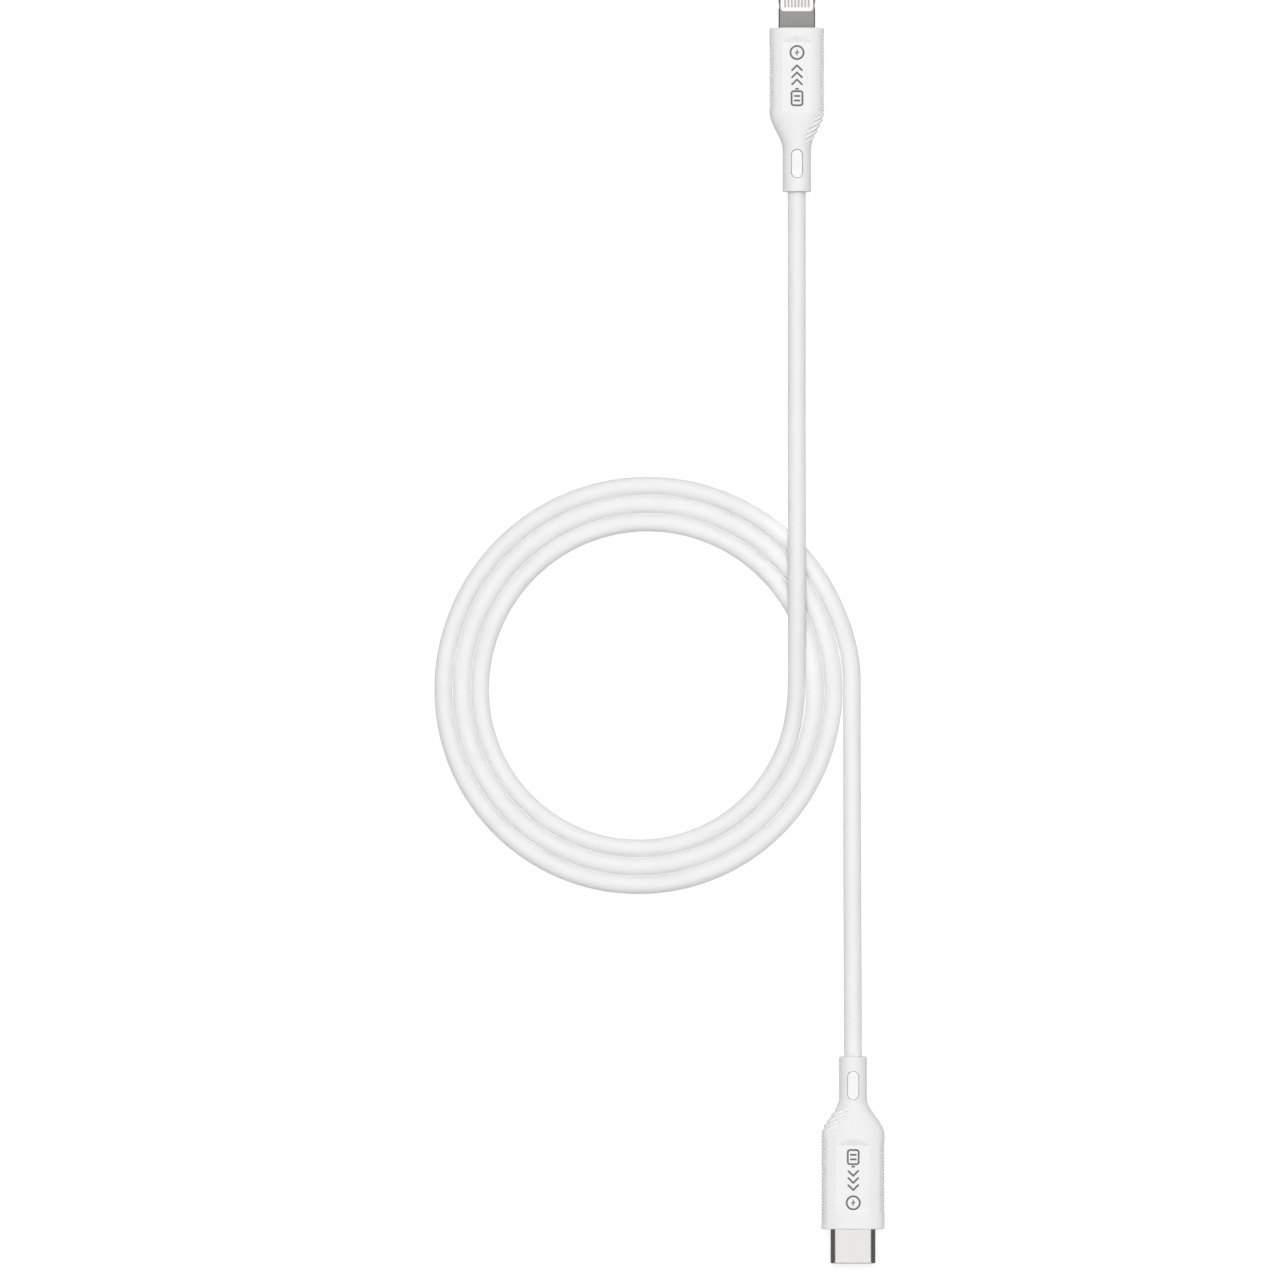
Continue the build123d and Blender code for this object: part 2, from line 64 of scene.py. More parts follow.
class Shader:
    """A Principled material with short calls for the procedural detail on top of it."""

    def __init__(self, name, color, roughness, metallic=0.0, specular=0.5, coat=0.0,
                 subsurface=0.0):
        self.material = bpy.data.materials.new(name)
        self.material.use_nodes = True
        self.tree = self.material.node_tree
        self.bsdf = self.tree.nodes["Principled BSDF"]
        values = {
            "Base Color": (*color, 1.0),
            "Roughness": roughness,
            "Metallic": metallic,
            "Specular IOR Level": specular,
            "Coat Weight": coat,
            "Subsurface Weight": subsurface,
            "Subsurface Radius": (1.0, 1.0, 1.0),
            "Subsurface Scale": SKIN_DEPTH,
        }
        for socket, value in values.items():
            self.bsdf.inputs[socket].default_value = value
        self.material.diffuse_color = (*color, 1.0)
        self.color = color
        self.roughness = roughness
        self.coordinates = self.tree.nodes.new("ShaderNodeTexCoord").outputs["Object"]
        self.normal = None

    def noise(self, feature, detail=3.0, stretch=(1.0, 1.0, 1.0)):
        """Noise whose features are about so many metres across; stretch lengthens them."""
        mapping = self.tree.nodes.new("ShaderNodeMapping")
        mapping.inputs["Scale"].default_value = [1.0 / part for part in stretch]
        self.tree.links.new(self.coordinates, mapping.inputs["Vector"])
        texture = self.tree.nodes.new("ShaderNodeTexNoise")
        texture.inputs["Scale"].default_value = 1.0 / feature
        texture.inputs["Detail"].default_value = detail
        self.tree.links.new(mapping.outputs["Vector"], texture.inputs["Vector"])
        return texture.outputs["Fac"]

    def vary_color(self, source, darker):
        """Base colour between its own and a darker share of it, as the source goes up."""
        ramp = self.tree.nodes.new("ShaderNodeValToRGB")
        ramp.color_ramp.elements[0].position = NOISE_LOW
        ramp.color_ramp.elements[0].color = (*[c * darker for c in self.color], 1.0)
        ramp.color_ramp.elements[1].position = NOISE_HIGH
        ramp.color_ramp.elements[1].color = (*self.color, 1.0)
        self.tree.links.new(source, ramp.inputs["Fac"])
        self.tree.links.new(ramp.outputs["Color"], self.bsdf.inputs["Base Color"])

    def tint_by(self, attribute, color):
        """Multiplies the base colour by another where an attribute of the mesh is 1."""
        mask = self.tree.nodes.new("ShaderNodeAttribute")
        mask.attribute_name = attribute
        mix = self.tree.nodes.new("ShaderNodeMixRGB")
        mix.blend_type = "MULTIPLY"
        mix.inputs["Color2"].default_value = (*color, 1.0)
        base = self.bsdf.inputs["Base Color"]
        self.tree.links.new(mask.outputs["Fac"], mix.inputs["Fac"])
        self.tree.links.new(base.links[0].from_socket, mix.inputs["Color1"])
        self.tree.links.new(mix.outputs["Color"], base)

    def vary_roughness(self, source, spread):
        """Roughness a little below and above its own value."""
        span = self.tree.nodes.new("ShaderNodeMapRange")
        span.inputs["From Min"].default_value = NOISE_FAINT
        span.inputs["From Max"].default_value = NOISE_STRONG
        span.inputs["To Min"].default_value = max(0.02, self.roughness - spread)
        span.inputs["To Max"].default_value = min(1.0, self.roughness + spread)
        self.tree.links.new(source, span.inputs["Value"])
        self.tree.links.new(span.outputs["Result"], self.bsdf.inputs["Roughness"])

    def bump(self, source, height):
        """Relief of a height in metres; a second call adds to the first."""
        bump = self.tree.nodes.new("ShaderNodeBump")
        bump.inputs["Strength"].default_value = 1.0
        bump.inputs["Distance"].default_value = height
        self.tree.links.new(source, bump.inputs["Height"])
        if self.normal is not None:
            self.tree.links.new(self.normal, bump.inputs["Normal"])
        self.normal = bump.outputs["Normal"]
        self.tree.links.new(self.normal, self.bsdf.inputs["Normal"])


def elastomer(name, color, roughness):
    """Soft white overmould: faint mottling and a fine spark-eroded mould texture, and painted
    shade: a greyer line down the rims of the neck windows."""
    shader = Shader(name, color, roughness, specular=0.3)
    shader.vary_color(shader.noise(0.004), 0.985)
    # Painted shade: the base colour is multiplied down to grey on the window rims, in place of the
    # shadow in the rim recess.
    shader.tint_by("painted_rim_shade", RIM_SHADE_GREY)
    shader.vary_roughness(shader.noise(0.0008), 0.05)
    shader.bump(shader.noise(0.00012, detail=2.0), 0.000004)
    return shader.material


def jacket(name, color, roughness):
    """Extruded cord jacket: smooth satin skin with a fine pebble and slow thickness waves."""
    shader = Shader(name, color, roughness, specular=0.3, subsurface=0.7)
    shader.vary_color(shader.noise(0.010), 0.98)
    shader.vary_roughness(shader.noise(0.0015), 0.06)
    shader.bump(shader.noise(0.00009, detail=2.0), 0.000003)
    shader.bump(shader.noise(0.0035, detail=1.0), 0.00001)
    return shader.material


def plastic(name, color, roughness):
    """Moulded plastic with a faint grain."""
    shader = Shader(name, color, roughness)
    shader.vary_color(shader.noise(0.002), 0.98)
    shader.vary_roughness(shader.noise(0.0006), 0.03)
    shader.bump(shader.noise(0.0001), 0.000003)
    return shader.material


def metal(name, color, roughness, stretch=(1.0, 1.0, 1.0), relief=0.000001, spread=0.06):
    """Metal with drawing or plating marks that run along the stretched axis."""
    shader = Shader(name, color, roughness, metallic=1.0)
    marks = shader.noise(0.00006, detail=4.0, stretch=stretch)
    shader.vary_color(shader.noise(0.0015), 0.985)
    shader.vary_roughness(marks, spread)
    shader.bump(marks, relief)
    return shader.material


def circuit_board(name):
    """Green solder mask over slightly raised copper tracks."""
    shader = Shader(name, MASK_GREEN, 0.3, coat=0.4)
    tracks = shader.tree.nodes.new("ShaderNodeTexBrick")
    tracks.inputs["Scale"].default_value = 900.0
    tracks.inputs["Color1"].default_value = (*MASK_GREEN, 1.0)
    tracks.inputs["Color2"].default_value = (0.025, 0.19, 0.07, 1.0)
    tracks.inputs["Mortar"].default_value = (0.01, 0.09, 0.035, 1.0)
    shader.tree.links.new(shader.coordinates, tracks.inputs["Vector"])
    shader.tree.links.new(tracks.outputs["Color"], shader.bsdf.inputs["Base Color"])
    shader.bump(tracks.outputs["Fac"], 0.00001)
    return shader.material


def tinned_braid(name):
    """Fine crossed wires, as two sets of bands at right angles."""
    shader = Shader(name, (0.62, 0.58, 0.5), 0.35, metallic=1.0)
    for direction in ("X", "Y"):
        bands = shader.tree.nodes.new("ShaderNodeTexWave")
        bands.bands_direction = direction
        bands.inputs["Scale"].default_value = 1400.0
        bands.inputs["Distortion"].default_value = 0.4
        shader.tree.links.new(shader.coordinates, bands.inputs["Vector"])
        shader.bump(bands.outputs["Fac"], 0.00003)
    shader.vary_color(shader.noise(0.0006), 0.75)
    return shader.material


WHITE = (0.92, 0.92, 0.92)
CORD_WHITE = (0.90, 0.90, 0.90)
# Grey of the painted shade down the neck windows' rims.
RIM_SHADE_GREY = (0.54, 0.54, 0.54)
MASK_GREEN = (0.02, 0.16, 0.06)
ALONG_PLUG = (1.0, 40.0, 1.0)

MATERIALS = {
    "sleeve_elastomer": elastomer("sleeve_elastomer", WHITE, 0.6),
    "cord_jacket": jacket("cord_jacket", CORD_WHITE, 0.5),
    "inner_mould_plastic": plastic("inner_mould_plastic", (0.94, 0.94, 0.94), 0.3),
    "nickel_plating": metal("nickel_plating", (0.355, 0.347, 0.333), 0.5, relief=0.0000006),
    "white_carrier": plastic("white_carrier", (0.97, 0.97, 0.96), 0.45),
    "contact_plating": metal("contact_plating", (0.50, 0.49, 0.47), 0.4, ALONG_PLUG),
    "shell_steel": metal("shell_steel", (0.65, 0.64, 0.615), 0.14, ALONG_PLUG),
    "black_housing": plastic("black_housing", (0.02, 0.02, 0.02), 0.5),
    "gold_contacts": metal("gold_contacts", (0.83, 0.60, 0.22), 0.25, ALONG_PLUG),
    "spring_steel": metal("spring_steel", (0.62, 0.61, 0.6), 0.36, ALONG_PLUG,
                          relief=0.0000003, spread=0.03),
    "shield_steel": metal("shield_steel", (0.6, 0.6, 0.59), 0.35, ALONG_PLUG),
    "ferrule_brass": metal("ferrule_brass", (0.72, 0.58, 0.32), 0.35),
    "tinned_braid": tinned_braid("tinned_braid"),
    "circuit_board": circuit_board("circuit_board"),
    "chip_epoxy": plastic("chip_epoxy", (0.03, 0.03, 0.032), 0.55),
    "capacitor_body": plastic("capacitor_body", (0.42, 0.28, 0.16), 0.45),
    "red_insulation": plastic("red_insulation", (0.45, 0.02, 0.02), 0.35),
    "black_insulation": plastic("black_insulation", (0.02, 0.02, 0.02), 0.35),
    "green_insulation": plastic("green_insulation", (0.02, 0.3, 0.06), 0.35),
    "white_insulation": plastic("white_insulation", (0.82, 0.82, 0.8), 0.35),
    "grey_print": plastic("grey_print", (0.15, 0.15, 0.15), 0.55),
}


def dress(piece, slot):
    """Gives a new piece its body and the material that its slot names."""
    piece.data.materials.clear()
    piece.data.materials.append(MATERIALS[slot])
    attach(piece, BODY)


for part in frame["record"]["subparts"]:
    node = NODES[part["node"]]
    node.data.materials.clear()
    node.data.materials.append(MATERIALS[part["material_slot"]])


# ---------------------------------------------------------------------------------------------
# Meshes


def mesh_object(name, points, faces, sharp=()):
    """Smooth-shaded mesh; sharp lists the vertex pairs of its creased edges."""
    mesh = bpy.data.meshes.new(name)
    mesh.from_pydata(points, [], faces)
    shape = bmesh.new()
    shape.from_mesh(mesh)
    bmesh.ops.recalc_face_normals(shape, faces=shape.faces)
    shape.verts.ensure_lookup_table()
    for face in shape.faces:
        face.smooth = True
    for first, second in sharp:
        edge = shape.edges.get((shape.verts[first], shape.verts[second]))
        if edge:
            edge.smooth = False
    shape.to_mesh(mesh)
    shape.free()
    piece = bpy.data.objects.new(name, mesh)
    bpy.context.scene.collection.objects.link(piece)
    return piece


def spread(start, end, count):
    """Evenly spaced numbers from start up to, but without, end."""
    return [start + (end - start) * k / count for k in range(count)]


def between(start, end, step):
    """Evenly spaced numbers from start up to, but without, end, about a step apart."""
    return spread(start, end, max(1, round((end - start) / step)))


HALVINGS = 30
BEYOND_SECTION = 20.0


def cast(inside, direction):
    """Point where a ray from the axis leaves a section, by halving the span it lies in."""
    near, far = 0.0, BEYOND_SECTION
    for _ in range(HALVINGS):
        middle = (near + far) / 2
        if inside(middle * direction[0], middle * direction[1]):
            near = middle
        else:
            far = middle
    return near * direction[0], near * direction[1]


def rounded_bar(width, height, radius):
    """Test for a rounded rectangle, or a stadium when the radius is half the height."""

    def inside(x, z):
        over_x = max(0.0, abs(x) - width / 2 + radius)
        over_z = max(0.0, abs(z) - height / 2 + radius)
        return math.hypot(over_x, over_z) < radius

    return inside


def ease(t):
    """Smooth step from 0 to 1."""
    t = min(1.0, max(0.0, t))
    return t * t * (3 - 2 * t)


# ---------------------------------------------------------------------------------------------
# Sleeves. Each is a closed skin of rings, drawn in its plug's own frame in millimetres: s behind
# the front face, x across and z up. A ring has a row of window columns across its top and
# bottom, which follow the label panel and the neck window, and side columns between them.

CROWN_ANGLE = math.radians(26.0)
PANEL_DEPTH = 0.5
PANEL_RAMP = 1.2
WINDOW_WIDTH = 2.14
WINDOW_LENGTH = 5.3
WINDOW_RECESS = 0.5
WINDOW_RIM = 0.21
WINDOW_FLARE = 0.05
WINDOW_RADIUS = WINDOW_WIDTH / 2 + WINDOW_FLARE
FRONT_ROUND = 0.25
END_ROUND = 0.15
CORE_FRONT = 0.6
CORE_TAPER = 5.0
CORE_NECK = 4.3
CORE_END_GAP = 0.8
CORE_CLEARANCE = 0.02
CORD_BORE = 3.29
WINDOW_SHARES = [-0.998, -0.935, -0.87, -0.81, -0.6, -0.37, -0.18, 0.0]
WINDOW_SHARES += [-share for share in WINDOW_SHARES[-2::-1]]
WINDOW_COLUMNS = len(WINDOW_SHARES) - 1
SIDE_COLUMNS = 64
NARROW = 0.1
# Depth down a window rim from which the rim is marked for painted shade.
RIM_SHADE_START = 0.03
WALL_STEP = 0.01
RIB_STEP = 0.07
PLAIN_STEP = 0.3
RAMP_RINGS = 24
CAP_RINGS = 10
ROUND_RINGS = 8
GROOVE_PITCH = 0.57
SHOULDER_PITCH = 1.05
GROOVE_DEPTH = 0.28
SHOULDER_DEPTH = 0.42
GROOVE_SLANT = 0.55
GROOVE_BEND = 1.0
GROOVE_FADE_IN = 1.0
GROOVE_FADE_OUT = 1.2
GROOVE_FADE_ACROSS = 0.8
SHOULDER_LEAD = 1.0
SHOULDER_BLEND = 2.0


class Oval:
    """Crowned oval of a half width and half height, walked by distance round its side."""

    def __init__(self, half_width, half_height):
        sine, cosine = math.sin(CROWN_ANGLE), math.cos(CROWN_ANGLE)
        difference = (half_width - half_height) / (sine + cosine - 1)
        self.side = half_width - difference * sine
        self.crown = self.side + difference
        self.offset = difference * sine
        self.top = half_height
        self.tangent = self.crown * sine

    def height(self, x):
        """Height of the outline above the mid plane, at a distance from the middle."""
        if x <= self.tangent:
            return self.top - self.crown + math.sqrt(self.crown**2 - x**2)
        return math.sqrt(max(0.0, self.side**2 - (x - self.offset) ** 2))

    def reach(self, z):
        """Half width of the outline at a height on the crown."""
        return math.sqrt(max(0.0, self.crown**2 - (z - self.top + self.crown) ** 2))

    def inside(self, x, z):
        return abs(x) < self.offset + self.side and abs(z) < self.height(abs(x))

    def walk(self, x, part):
        """Point, outward normal and distance above the mid plane, part of the way round the
        side from the top at x to the bottom at x."""
        start = math.asin(x / self.crown)
        if x > self.tangent:
            start = math.asin(min(1.0, (x - self.offset) / self.side))
        crown_length = max(0.0, CROWN_ANGLE - start) * self.crown
        side_start = max(start, CROWN_ANGLE)
        total = (math.pi - 2 * side_start) * self.side + 2 * crown_length
        distance = part * total
        above = total / 2 - distance
        flip = 1
        if above < 0:
            distance = total - distance
            flip = -1
        if distance < crown_length:
            turn = start + distance / self.crown
            x_there = self.crown * math.sin(turn)
            z_there = self.top - self.crown * (1 - math.cos(turn))
        else:
            turn = side_start + (distance - crown_length) / self.side
            x_there = self.offset + self.side * math.sin(turn)
            z_there = self.side * math.cos(turn)
        return (x_there, flip * z_there), (math.sin(turn), flip * math.cos(turn)), above


class Sleeve:
    """Sizes of one plug's sleeve, with its outer ones read from the CAD node."""

    def __init__(self, end, way, shoulder, neck, panel, window_y, core, mouth, grooves):
        low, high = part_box(f"{end}_sleeve")
        self.end, self.way = end, way
        self.axis = (low + high) / 2
        self.face = low.y if way > 0 else high.y
        self.width, self.length, self.height = (high - low) / MM
        self.shoulder, self.neck, self.panel = shoulder, neck, panel
        self.window_y, self.core, self.mouth, self.grooves = window_y, core, mouth, grooves

    def place(self, x, s, z):
        """Point of the plug's own frame, in the shared frame and in metres."""
        return (
            self.axis.x + self.way * x * MM,
            self.face + self.way * s * MM,
            self.axis.z + z * MM,
        )

    def outline(self, s):
        """Outside of the sleeve at depth s, without panel, window or grooves."""
        start, end = self.shoulder
        share = ease((s - start) / (end - start))
        inset = 0.0
        if s < FRONT_ROUND:
            inset = FRONT_ROUND - math.sqrt(FRONT_ROUND**2 - (FRONT_ROUND - s) ** 2)
        elif s > self.length - END_ROUND:
            rest = min(END_ROUND, s - self.length + END_ROUND)
            inset = END_ROUND - math.sqrt(END_ROUND**2 - rest**2)
        half_width = (self.width + (self.neck - self.width) * share) / 2
        half_height = (self.height + (self.neck - self.height) * share) / 2
        return Oval(half_width - inset, half_height - inset)

    def panel_level(self, s):
        """Height that the label panel's cut reaches down to at depth s."""
        beyond = max(self.panel[0] - s, s - self.panel[1], 0.0)
        return self.height / 2 - PANEL_DEPTH + PANEL_DEPTH * beyond / PANEL_RAMP

    def panel_tip(self, start, end):
        """Depth between two depths at which the panel's ramp runs out through the crown."""
        for _ in range(HALVINGS):
            middle = (start + end) / 2
            if self.panel_level(middle) < self.outline(middle).top:
                start = middle
            else:
                end = middle
        return start

    def past_window(self, s):
        """How far depth s lies beyond the straight sides of the neck window."""
        return max(0.0, abs(s - self.window_y) - WINDOW_LENGTH / 2 + WINDOW_WIDTH / 2)

    def window_depth(self, x, s):
        """Depth below the neck's top at a place in the window, down its sloping rim."""
        inward = WINDOW_RADIUS - math.hypot(x, self.past_window(s))
        return WINDOW_RECESS * min(1.0, max(0.0, inward / WINDOW_RIM))

    def window_half(self, s):
        """Half width of the neck window at depth s."""
        return math.sqrt(max(0.0, WINDOW_RADIUS**2 - self.past_window(s) ** 2))

    def groove(self, side, s, above):
        """Depth of the moulded grip grooves, which slant round the narrow sides."""
        rules = self.grooves[side]
        starting = ease((s - rules["start"]) / GROOVE_FADE_IN)
        ending = ease((rules["end"] - s) / GROOVE_FADE_OUT)
        shoulder = ease((s - self.shoulder[0] + SHOULDER_LEAD) / SHOULDER_BLEND)
        reach = rules["reach"] + (rules["shoulder_reach"] - rules["reach"]) * shoulder
        across = ease((reach - abs(above)) / (GROOVE_FADE_ACROSS + shoulder))
        lean = GROOVE_SLANT * above**2 / (abs(above) + GROOVE_BEND)
        start = s - lean - self.shoulder[0]
        phase = start / (GROOVE_PITCH if start < 0 else SHOULDER_PITCH)
        wave = (0.5 + 0.5 * math.cos(2 * math.pi * phase)) ** 2
        depth = GROOVE_DEPTH + (SHOULDER_DEPTH - GROOVE_DEPTH) * shoulder
        return depth * starting * ending * across * wave

    def stations(self):
        """Depths of the rings with what crosses each: nothing, the panel or the window."""
        quarter = math.pi / 2
        front = [FRONT_ROUND * (1 - math.cos(turn)) for turn in spread(0, quarter, ROUND_RINGS)]
        tips = [self.panel_tip(edge, edge + way * PANEL_RAMP) for edge, way in
                ((self.panel[0], -1), (self.panel[1], 1))]
        runs = [u**2 for u in spread(0, 1, RAMP_RINGS)]
        first_ramp = [tips[0] + (self.panel[0] - tips[0]) * run for run in runs]
        last_ramp = [tips[1] - (tips[1] - self.panel[1]) * run for run in runs[::-1]]
        opening = self.window_y - WINDOW_LENGTH / 2 - WINDOW_FLARE
        closing = self.window_y + WINDOW_LENGTH / 2 + WINDOW_FLARE
        least = math.asin(NARROW / WINDOW_RADIUS)
        turns = spread(least, quarter, CAP_RINGS)
        caps = [WINDOW_RADIUS * (1 - math.cos(turn)) for turn in turns]
        back = [END_ROUND * math.sin(turn) for turn in spread(0, quarter, ROUND_RINGS)]
        plain = front + between(FRONT_ROUND, tips[0], RIB_STEP)
        panel = first_ramp + between(*self.panel, RIB_STEP) + [self.panel[1]] + last_ramp
        after = between(tips[1] + RIB_STEP, opening, RIB_STEP) + [opening + caps[0] - WALL_STEP]
        window = [opening + cap for cap in caps]
        window += between(opening + WINDOW_RADIUS, closing - WINDOW_RADIUS, PLAIN_STEP)
        window += [closing - WINDOW_RADIUS] + [closing - cap for cap in caps[::-1]]
        rest = [closing - caps[0] + WALL_STEP]
        rest += between(closing + PLAIN_STEP, self.length - END_ROUND, PLAIN_STEP)
        rest += [self.length - END_ROUND + depth for depth in back] + [self.length]
        return (
            [(s, "plain") for s in plain]
            + [(s, "panel") for s in panel]
            + [(s, "plain") for s in after]
            + [(s, "window") for s in window]
            + [(s, "plain") for s in rest]
        )

    def ring(self, s, feature):
        """Ring of (x, z) points at depth s, clockwise from the top left."""
        oval = self.outline(s)
        half, level = NARROW, oval.top
        if feature == "panel":
            level = self.panel_level(s)
            half = max(NARROW, oval.reach(level))
        elif feature == "window":
            half = max(NARROW, self.window_half(s))
        top = []
        for share in WINDOW_SHARES:
            x = half * share
            z = min(level, oval.height(abs(x)))
            if feature == "window":
                z = min(z, oval.height(half)) - self.window_depth(x, s)
            top.append((x, z))
        sides = {}
        for side in (1, -1):
            sides[side] = []
            for column in range(SIDE_COLUMNS + 1):
                point, normal, above = oval.walk(half, column / SIDE_COLUMNS)
                depth = self.groove(side, s, above)
                x, z = point[0] - depth * normal[0], point[1] - depth * normal[1]
                sides[side].append((side * x, z))
        bottom = [(x, -z) for x, z in reversed(top)]
        return top + sides[1] + bottom + sides[-1][::-1]

    def inner_rings(self, directions):
        """Rings of the end face, the bore, the hollow for the inner mould and the mouth."""
        bore = rounded_bar(CORD_BORE, CORD_BORE, CORD_BORE / 2)
        neck = Oval(CORE_NECK / 2 + CORE_CLEARANCE, CORE_NECK / 2 + CORE_CLEARANCE)
        body = Oval(*[size / 2 + CORE_CLEARANCE for size in self.core])
        start = self.shoulder[0]
        levels = [
            (self.length, bore),
            (self.length - CORE_END_GAP, bore),
            (self.length - CORE_END_GAP, neck.inside),
            (start + CORE_TAPER, neck.inside),
            (start, body.inside),
            (CORE_FRONT, body.inside),
            (CORE_FRONT, self.mouth),
        ]
        return [(s, [cast(inside, way) for way in directions]) for s, inside in levels]

    def build(self):
        """The sleeve's mesh, with an attribute of 1 down the rims of its windows, where shade is
        painted.
        """
        stations = self.stations()
        rings = [(s, self.ring(s, feature)) for s, feature in stations]
        directions = []
        for x, z in rings[0][1]:
            reach = math.hypot(x, z)
            directions.append((x / reach, z / reach))
        mouth = (0.0, [cast(self.mouth, way) for way in directions])
        rings = [mouth] + rings + self.inner_rings(directions)
        count = len(directions)
        points = [self.place(x, s, z) for s, ring in rings for x, z in ring]
        faces = []
        for row in range(len(rings)):
            after = (row + 1) % len(rings)
            for column in range(count):
                beside = (column + 1) % count
                faces.append((
                    row * count + column,
                    row * count + beside,
                    after * count + beside,
                    after * count + column,
                ))
        skin = mesh_object(f"{self.end}_sleeve_skin", points, faces, self.creases(stations, count))
        # Mask for painted shade: 1 on the window rims' slopes, where the material greys the
        # colour.
        painted_rim_shade = skin.data.attributes.new("painted_rim_shade", "FLOAT", "POINT")
        for row, (s, feature) in enumerate(stations, 1):
            if feature != "window":
                continue
            for column, (x, z) in enumerate(rings[row][1]):
                in_window = column % (count // 2) <= WINDOW_COLUMNS
                if in_window and self.window_depth(x, s) > RIM_SHADE_START:
                    painted_rim_shade.data[row * count + column].value = 1.0
        return skin

    def creases(self, stations, count):
        """Edges of the mouth and bore, and those round the panels and windows."""
        top = range(WINDOW_COLUMNS)
        half = count // 2
        seams = [WINDOW_COLUMNS, WINDOW_COLUMNS + 1, half - 1, 0]
        seams += [seam + half for seam in seams]
        sharp = []
        inner = len(stations) + 1
        bore_and_step = [inner, inner + 1, inner + 2]
        mouth_ends = [0, inner + 5, inner + 6]
        for row in bore_and_step + mouth_ends:
            sharp += [(row * count + k, row * count + (k + 1) % count) for k in range(count)]
        for index, (s, feature) in enumerate(stations[:-1]):
            row = index + 1
            following = stations[index + 1][1]
            if feature != "plain" and following == feature:
                sharp += [(row * count + k % count, (row + 1) * count + k % count) for k in seams]
            wall = "window" in (feature, following) and feature != following
            if wall or (feature == "panel" and s in self.panel):
                for level in (row, row + 1) if wall else (row,):
                    for start in (0, half):
                        sharp += [(level * count + start + k, level * count + start + k + 1)
                                  for k in top]
        return sharp


TAB_SLEEVE = Sleeve(
    "tab", -1,
    shoulder=(15.4, 22.4),
    neck=5.2,
    panel=(2.7, 15.6),
    window_y=25.0,
    core=(8.5, 4.7),
    mouth=rounded_bar(6.72, 1.52, 0.36),
    grooves={
        1: {"start": 2.6, "end": 15.0, "reach": 2.2, "shoulder_reach": 2.2},
        -1: {"start": 0.6, "end": 21.2, "reach": 2.2, "shoulder_reach": 3.8},
    },
)
C_SLEEVE = Sleeve(
    "usb_c", 1,
    shoulder=(17.3, 24.1),
    neck=5.1,
    panel=(3.25, 15.4),
    window_y=26.4,
    core=(10.1, 4.9),
    mouth=rounded_bar(8.27, 2.42, 1.21),
    grooves={
        1: {"start": 2.6, "end": 16.6, "reach": 2.3, "shoulder_reach": 2.3},
        -1: {"start": 0.6, "end": 22.9, "reach": 2.3, "shoulder_reach": 4.8},
    },
)

for sleeve in (TAB_SLEEVE, C_SLEEVE):
    skin = sleeve.build()
    dress(skin, "sleeve_elastomer")
    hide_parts(f"{sleeve.end}_sleeve")


# ---------------------------------------------------------------------------------------------
# Print on the upper label panels: a row of charge symbols, a battery, three arrowheads and a
# bolt in a ring. Drawn in millimetres, u towards the plug's front and v to its left.

STROKE = 0.34
PRINT_RISE = 0.015
PRINT_SINK = 0.02
BATTERY = (-5.5, -1.0), (-2.9, 1.0)
BATTERY_END = (-2.62, -0.35), (-2.3, 0.35)
CHARGE_BARS = (-4.62, -3.78)
CHARGE_BAR_HALF = 0.45
ARROW_TIPS = (-0.75, 0.55, 1.85)
ARROW_SIZE = 0.9
BOLT = [(4.9, 0.1), (4.12, -0.42), (4.12, -0.06), (3.5, -0.1), (4.28, 0.42), (4.28, 0.06)]
RING_CENTRE = (4.2, 0.0)
RING_RADIUS = 1.2


def ring_stroke(outline):
    """Closed stroke: loops half a stroke outside and inside an outline, as paired points."""
    pairs = []
    for index, point in enumerate(outline):
        before, after = Vector(outline[index - 1]), Vector(outline[(index + 1) % len(outline)])
        run = (after - before).normalized()
        normal = Vector((run.y, -run.x)) * STROKE / 2
        pairs.append((Vector(point) + normal, Vector(point) - normal))
    return pairs


def corner_arc(centre, radius, start, end, count=6):
    """Points of an arc between two angles in degrees."""
    turns = [math.radians(start + (end - start) * k / count) for k in range(count + 1)]
    return [(centre[0] + radius * math.cos(t), centre[1] + radius * math.sin(t)) for t in turns]


def rounded_outline(low, high, radius):
    """Anticlockwise outline of a rounded rectangle."""
    centres = [
        (high[0] - radius, low[1] + radius, -90),
        (high[0] - radius, high[1] - radius, 0),
        (low[0] + radius, high[1] - radius, 90),
        (low[0] + radius, low[1] + radius, 180),
    ]
    points = []
    for u, v, start in centres:
        points += corner_arc((u, v), radius, start, start + 90)
    return points


def bar(start, end):
    """Straight stroke with round ends, as one outline."""
    run = Vector(end) - Vector(start)
    turn = math.degrees(math.atan2(run.y, run.x))
    first = corner_arc(start, STROKE / 2, turn + 90, turn + 270)
    return first + corner_arc(end, STROKE / 2, turn - 90, turn + 90)


def arrowhead(tip, size):
    """Two strokes at right angles that meet at a tip, as one outline."""
    radius = STROKE / 2
    upper, lower = (tip - size, size), (tip - size, -size)
    return (
        corner_arc(upper, radius, 45, 225)
        + [(tip - radius * math.sqrt(2), 0.0)]
        + corner_arc(lower, radius, 135, 315)
        + corner_arc((tip, 0.0), radius, -45, 45)
    )


